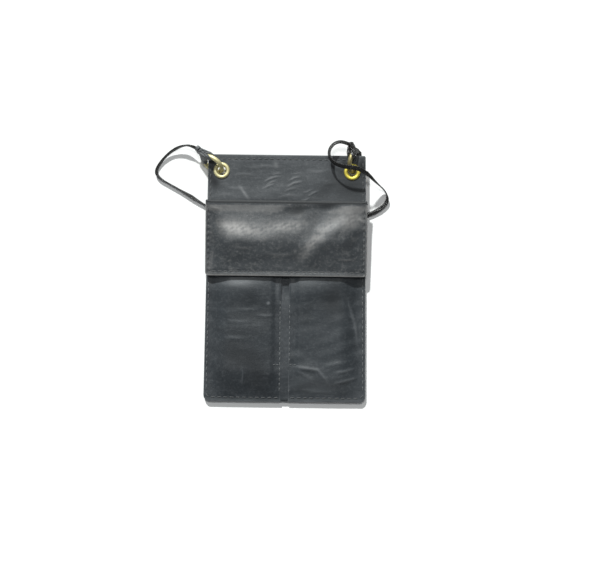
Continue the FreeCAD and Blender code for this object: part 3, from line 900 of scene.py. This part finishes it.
def right_relief(x, y):
    """The right pocket: a long crease by its side and sharp ones from the short seam, with painted highlights
    on its swellings and painted shade in a hollow below its mouth.
    """
    mouth, rub = pocket_edges(x, y)
    raised = 0.15 * ripple(x, y, 37, 32, 9, stretch=1.4) + mouth
    raised += dents(x, y, ((20, 24), (22, 10), 0, 1.3), ((39, 13), (9, 9), 25, -0.8),
        ((27, -47), (20, 7), 8, 0.5), ((16, -26), (9, 6), 0, -0.4))
    creased = ridges(x, y, ([(47, 23), (50.5, 10), (55, -4), (57.5, -22)], 1.1, 0.75),
        ([(43.5, 25), (45.5, 14), (49, 4)], 1.4, 0.35),
        ([(5, -36), (14, -37.5), (26, -39), (32, -46), (36, -53)], 1.1, 0.7),
        ([(8, -39), (17, -43.5), (24, -47.5)], 1.2, 0.35), ([(37, -41.5), (46, -40), (57, -37)], 1, 0.55),
        ([(36, -50.5), (47, -47.5), (58, -44.5)], 1.2, 0.55),
        ([(30, -36), (40, -33.5), (48, -33)], 1.2, 0.25), ([(10, -54), (24, -56), (38, -56.5)], 1.2, 0.25))
    worn_and_painted_light = np.clip(0.7 * creased, 0, 0.4) + rub
    # Painted highlight at the top under the flap and on the lower swelling, painted shade in the hollow, and
    # a faint paler band down the right margin.
    worn_and_painted_light += dents(x, y, ((16, 29), (14, 3), 0, 0.4), ((37, 14), (10, 12), 20, -0.55),
        ((26, -51), (24, 9), 0, 0.4), ((57, 0), (4, 24), 0, 0.15))
    return raised + creased, worn_and_painted_light


def make_pockets():
    ys = stations(y_bottom, y_pocket)
    for side, left, right, relief in (("left", side_left, straight(left_high[0]), left_relief),
                                      ("right", straight(right_low[0]), side_right, right_relief)):
        pocket = sheet(side + "_pocket_leather", ys, left, right, pocket_under(side), leather,
                       body_leather, relief)
        put(pocket, "root", "leather", side + "_card_pocket")


# ---- Flap ----
def flap_left(y):
    """X of the flap's left side."""
    return rounded(y, y_flap, flap_corner_r, 1) - flap_half


def flap_right(y):
    return -flap_left(y)


def flap_climb(x):
    """0 on the flap's side margins and 1 over its middle."""
    return smooth((flap_half - 1.5 - abs(x)) / 17)


def flap_droop(y):
    """How far the flap's sides hang below its middle; nothing at the rolled fold."""
    share = (y_fold - y) / (y_fold - y_flap)
    return (fold_sag + (flap_sag - fold_sag) * share) * smooth((y_fold - y) / 9)


def flap_top(x, y):
    """Top of the flap: it climbs to a rounded crest, then falls away to its lower edge."""
    level = flap_lining_low[2] + flap_sag + flap_lining_t + leather
    fold_z = z_axis + roll_r * roll_flatness
    crest = flap_high[2] + 1.2
    down = (y_fold - y) / (y_fold - y_flap)
    before = fold_z + (crest - fold_z) * smooth((down - 0.12) / 0.4)
    after = crest + (level - crest) * smooth((down - 0.52) / 0.42)
    lengthwise = np.where(down < 0.52, before, after)
    margin = level - flap_droop(y) + (fold_z - level) * smooth(1 - (y_fold - y) / 9)
    return margin + (lengthwise - margin) * flap_climb(x)


def flap_relief(x, y):
    """A slanting ridge, hollows under the fold, soft rolls at the left, and fine creases, with painted
    highlights on the slopes that face the light and painted shade in the hollows and under the fold.
    """
    raised = 0.1 * ripple(x, y, 51, 30, 8, stretch=1.5)
    raised += ridges(x, y, ([(56, 90), (45, 78), (35, 67), (25, 56), (15, 45)], 5.6, 1.4),
        ([(35, 93), (26, 81), (17, 70), (8, 58)], 5, -1),
        ([(-59, 86), (-56, 70), (-55, 52), (-57, 38)], 3.6, -1.4),
        ([(62, 72), (51, 60), (41, 49)], 4.5, -0.9))
    raised += dents(x, y, ((8, 85.8), (9, 3.8), 8, -0.8), ((30.5, 88.4), (9, 2.8), 6, -0.8),
        ((-36, 64), (15, 6), -10, 0.8), ((-10, 66), (16, 5), 6, 0.4), ((22, 39.5), (7, 3.2), 0, -0.5),
        ((37, 38.5), (5, 3), 0, -0.4))
    creased = ridges(x, y, ([(38, 48.5), (46, 47), (55, 47.8)], 0.7, 0.26),
        ([(-61, 88), (-56, 86.6), (-50, 86)], 0.8, 0.35), ([(56, 80), (59, 77.5), (62, 77)], 0.8, 0.4),
        ([(-59, 60), (-57, 52), (-58, 43)], 0.9, 0.35), ([(-20, 52), (-6, 50.5), (8, 51.5)], 1.1, 0.16),
        ([(-44, 57), (-34, 55.4), (-25, 56.2)], 1, 0.14))
    deepest = 0.35
    soft_from = -0.3
    softened = soft_from - deepest * np.tanh((soft_from - raised) / deepest)
    raised = np.where(raised < soft_from, softened, raised)
    raised = raised * smooth((y_fold - y) / 5) * smooth((y - y_flap - 1) / 5)
    inner = flap_half - flap_stitch_side
    raised += stitch_groove(x, y, -inner, inner, y_flap + flap_stitch_end, y_fold + 60, 0.45)

    # Painted highlights: broad pale bands where the upper slopes face the light, and a slanting one beside
    # the ridge.
    worn_and_painted_light = dents(x, y, ((-35, 70.5), (18, 5.5), -9, 0.62), ((0, 73), (17, 4), 5, 0.5),
        ((50, 78), (11, 8), 30, 0.3))
    worn_and_painted_light += ridge(x, y, [(40, 81), (29.5, 70), (20, 60), (13, 50), (9, 43)], 3.8, 0.5)
    patchy = 0.5 + 0.5 * ripple(x, y, 77, 9, 2.2)
    worn_and_painted_light = worn_and_painted_light * np.clip(patchy + 0.4, 0.3, 1.2) + np.clip(creased, 0, 0.4)
    # Paler along the lower edge; painted shade darkens the fold's crest, where the roll would catch a line of
    # light.
    worn_and_painted_light += 0.22 * smooth(1 - (y - y_flap) / 3.2) - 0.9 * smooth((y - 90) / 0.9)
    # Painted highlight: a pale strip just below the fold.
    worn_and_painted_light += 0.3 * smooth((y - 82.5) / 3) * smooth((89.8 - y) / 1.2)
    # More painted highlight at the left and the upper right, and a pale band low on the left edge.
    worn_and_painted_light += dents(x, y, ((-42, 71), (9, 6), 0, 0.25), ((47, 79), (11, 7), 0, 0.25),
        ((-59.5, 43), (2.6, 9), 0, 0.22))
    # Painted shadows in the two dark patches under the fold, and painted shade in the hollows at the left and
    # near the lower edge.
    worn_and_painted_light -= dents(x, y, ((8.5, 85.6), (9, 4.2), 8, 1), ((31, 88.6), (9, 3), 6, 0.95),
        ((-58, 62), (3, 14), 0, 0.35), ((22, 39.5), (7, 3), 0, 0.3), ((37, 38.5), (5, 2.6), 0, 0.3))
    # Painted shade along the two slanting hollows.
    worn_and_painted_light -= ridges(x, y, ([(27, 84), (19, 72), (12, 62)], 3, 0.35),
        ([(61, 72), (50, 60), (41, 50)], 4, 0.35))
    return raised + creased, worn_and_painted_light


def make_flap_leather():
    """The outer leather runs up over the fold and is rolled back under itself."""
    flat = stations(y_flap, y_fold)
    flat = flat[flat < y_fold - 0.9]
    flat = np.concatenate([flat, np.linspace(flat[-1], y_fold, 5)[1:]])
    u = stations(-flap_half, flap_half) / flap_half
    y = np.repeat(flat[:, None], len(u), axis=1)
    x = flap_right(y) * u[None, :]
    side = np.minimum(x - flap_left(y), flap_right(y) - x)
    inside = np.minimum(side, y - y_flap)
    bulge = leather / 2 * edge_bulge(inside)
    raised, worn_and_painted_light = flap_relief(x, y)
    middle = flap_top(x, y) - leather / 2 + raised * smooth(inside / 1.6)
    worn_and_painted_light = np.clip(worn_and_painted_light + 0.45 * (1 - smooth(inside / 1.4)), -1, 1)
    turns = np.radians([*range(12, 300, 12), 300])
    rolls, cores = [], []
    for a in turns:
        half = leather / 2 * edge_bulge(side[-1]) * (a < turns[-1])
        for rows, r in ((rolls, roll_r - leather / 2 + half), (cores, roll_r - leather / 2 - half)):
            z = z_axis + r * roll_flatness * math.cos(a)
            rows.append(np.stack([x[-1], y_fold + r * math.sin(a), z], axis=-1))
    top = np.concatenate([np.stack([x, y, middle + bulge], axis=-1), rolls])
    low = np.concatenate([np.stack([x, y, middle - bulge], axis=-1), cores])
    # Painted shade: the rolled fold is darkened so that it does not show a line of light.
    worn_and_painted_light = np.concatenate([worn_and_painted_light, np.full((len(turns), len(u)), -0.8)])
    put(two_sided("flap_leather", top, low, flap_leather, worn_and_painted_light), "flap", "leather", "flap_outer")


def make_flap_lining():
    """The thin lining, a little smaller than the flap, hanging with it at the sides."""
    inset = 0.5

    def under(x, y):
        return flap_lining_low[2] + flap_sag + (-flap_droop(y) - 0.02) * (1 - flap_climb(x))

    ys = stations(y_flap + inset, flap_lining_high[1])
    lining = sheet("flap_lining_leather", ys, lambda y: flap_left(y) + inset, lambda y: flap_right(y) - inset,
                   under, flap_lining_t, lining_leather,
                   lambda x, y: (-0.08 * np.abs(ripple(x, y, 61, 30, 8)), 0 * x), edge=0.4)
    put(lining, "flap", "lining", "flap_lining")


def make_strip():
    """The flap's tail, sewn to the tab under the fold."""
    strip = sheet("fold_strip", stations(strip_low[1], strip_high[1]), straight(strip_low[0]),
                  straight(strip_high[0]), lambda x, y: back_under(x, y) + z_inside, leather, flap_leather)
    put(strip, "root", "leather", "flap_seam_strip")


def make_patches():
    """The two halves of the closure, woven tapes with sewn, slightly thinner edges."""
    for name, material, body, faces_down in (("loop_patch", loops, "root", False),
                                             ("hook_patch", hooks, "flap", True)):
        low, high = node_box(name)

        def pile(x, y):
            inside = np.minimum.reduce([x - low[0], high[0] - x, y - low[1], high[1] - y])
            nap = 0.18 * ripple(x, y, 91, 3.2, 1.6, count=10)
            return -0.7 * (1 - smooth((inside - 1.0) / 1.4)) - np.abs(nap), 0 * x

        patch = sheet(name + "_tape", stations(low[1], high[1]), straight(low[0]), straight(high[0]),
                      lambda x, y: np.full_like(x, low[2]), high[2] - low[2], material, pile, edge=0.6)
        if faces_down:
            for v in patch.data.vertices:
                v.co.z = (low[2] + high[2]) * MM - v.co.z
            patch.data.flip_normals()
        put(patch, body, "closure", name)


# ---- Stitching ----
thread_section = [(thread_r * math.cos(a), -thread_r * math.sin(a)) for a in np.radians(range(0, 360, 60))]


def stitch_row(points, surface, seed, pitch=stitch_pitch, length=stitch_length):
    """Stitches end to end along a line of (x, y) points on a surface."""
    points, _, _, travelled = measured(points)
    count = max(1, int(travelled[-1] / pitch))
    rng = np.random.default_rng(seed)
    parts = []
    for i in range(count):
        centre = (i + 0.5) * travelled[-1] / count
        lean = rng.uniform(-0.16, 0.16)
        stops = centre + length * np.array([-0.5, -0.42, -0.2, 0.0, 0.2, 0.42, 0.5])
        x = np.interp(stops, travelled, points[:, 0])
        y = np.interp(stops, travelled, points[:, 1])
        along = np.array([x[-1] - x[0], y[-1] - y[0]])
        along /= np.linalg.norm(along)
        drift = lean * np.linspace(-1, 1, len(stops))
        x, y = x - along[1] * drift, y + along[0] * drift
        lift = np.array([-0.5, -0.05, 0.12, 0.16, 0.12, -0.05, -0.5])
        z = surface(x, y) + lift
        line = np.stack([x, y, z], axis=-1)
        parts.append(swept(line, np.cross(np.gradient(line, axis=0), (0, 0, 1)), thread_section))
    return parts


def sheet_surface(obj):
    """Height of a piece's upper surface at some places, by looking straight down."""
    tree = BVHTree.FromPolygons([v.co for v in obj.data.vertices], [p.vertices for p in obj.data.polygons])

    def surface(x, y):
        heights = []
        for a, b in zip(x, y):
            hit = tree.ray_cast(Vector((a * MM, b * MM, 0.1)), Vector((0, 0, -1)))
            heights.append(hit[0].z / MM if hit[0] is not None else 0.0)
        return np.array(heights)

    return surface


def sewn(name, rows, body, material):
    """One piece of thread from several rows of stitches."""
    vertices, faces = joined([part for row in rows for part in row])
    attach(mesh_object(name, vertices, faces, material), body)


# Rows beside each pocket's inner seam: both ends, X from the seam, seed, pitch and length.
seam_rows = {
    "left": [((0, 15), (0, -56.5), 9, 3.9, 2.7), ((-5.4, -34.9), (-0.6, -35.1), 10, 2.3, 1.7)],
    "right": [((-0.2, 12.5), (0, -33.5), 11, 3.9, 2.7), ((0, -53), (0, -57.5), 12, 2.4, 1.8),
              ((-0.5, -34.8), (6, -35), 13, 2.3, 1.7)],
}


def make_pocket_stitches():
    """Darker rows, painted shade, along the bottom edge, grey ones up the sides and the inner seams."""
    r = 3.5
    foot = y_bottom + stitch_end
    for side, sign, inner in (("left", -1, left_high[0]), ("right", 1, right_low[0])):
        surface = sheet_surface(bpy.data.objects[side + "_pocket_leather"])
        line = [(abs(inner) + 1.2, foot)] + arc(half_width(y_bottom) - stitch_side - r, foot + r, r, -90, 0)
        row = stitch_row([(sign * x, y) for x, y in line], surface, 6 + sign)
        sewn(side + "_foot_stitches", [row], "root", shaded_thread)
        ys = np.linspace(foot + r + 2, y_pocket - 2, 12)
        rows = [stitch_row([(sign * (half_width(y) - stitch_side), y) for y in ys], surface, 3 + sign)]
        for start, end, seed, pitch, length in seam_rows[side]:
            line = [(inner + sign + x, y) for x, y in (start, end)]
            rows.append(stitch_row(line, surface, seed, pitch, length))
        sewn(side + "_pocket_stitches", rows, "root", thread)


def make_stitches():
    """Every sewn line: on the pockets, round the mouth and the tab, and round the flap."""
    make_pocket_stitches()
    for name, panel, low, high, count, top, drop, inset, seed, material in (
            ("mouth_stitches", "front_leather", y_pocket + 2, y_mouth - 2, 4, y_mouth, 3.2, 4, 20, thread),
            ("tab_stitches", "tab_lining", y_mouth + 3, y_top - 5, 12, y_top, stitch_end, 5, 30,
             shaded_thread)):
        surface = sheet_surface(bpy.data.objects[panel])
        rows = []
        for sign in (-1, 1):
            line = [(sign * (half_width(y) - stitch_side), y) for y in np.linspace(low, high, count)]
            rows.append(stitch_row(line, surface, seed + sign))
        reach = half_width(top) - inset
        rows.append(stitch_row([(-reach, top - drop), (reach, top - drop)], surface, seed + 3))
        sewn(name, rows, "root", material)
    x = flap_half - flap_stitch_side
    foot = y_flap + flap_stitch_end
    r = 3.0
    line = [(-x, y_fold - 3), (-x, foot + r)]
    line += arc(-x + r, foot + r, r, 180, 270)
    line += arc(x - r, foot + r, r, 270, 360)
    line += [(x, y_fold - 3)]
    surface = sheet_surface(bpy.data.objects["flap_leather"])
    sewn("flap_stitches", [stitch_row(line, surface, 41)], "flap", shaded_thread)


def finish_metal():
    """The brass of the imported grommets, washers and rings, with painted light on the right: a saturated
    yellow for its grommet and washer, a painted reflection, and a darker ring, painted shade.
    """
    for name, material in (("left_grommet", brass), ("right_grommet", reflection_gilt), ("left_washer", brass),
                           ("right_washer", reflection_gilt), ("left_ring", brass), ("right_ring", shaded_ring_brass)):
        mesh = frame["nodes"][name].data
        mesh.materials.clear()
        mesh.materials.append(material)


make_camera()
make_light()
make_floor()
lace, lace_line, lace_length = make_lace()
knots = [make_knot("left", lace_line[0]), make_knot("right", lace_line[-1])]
tie = make_tie()
make_back()
make_front()
make_pockets()
make_flap_leather()
make_flap_lining()
make_strip()
make_patches()
make_stitches()
finish_metal()
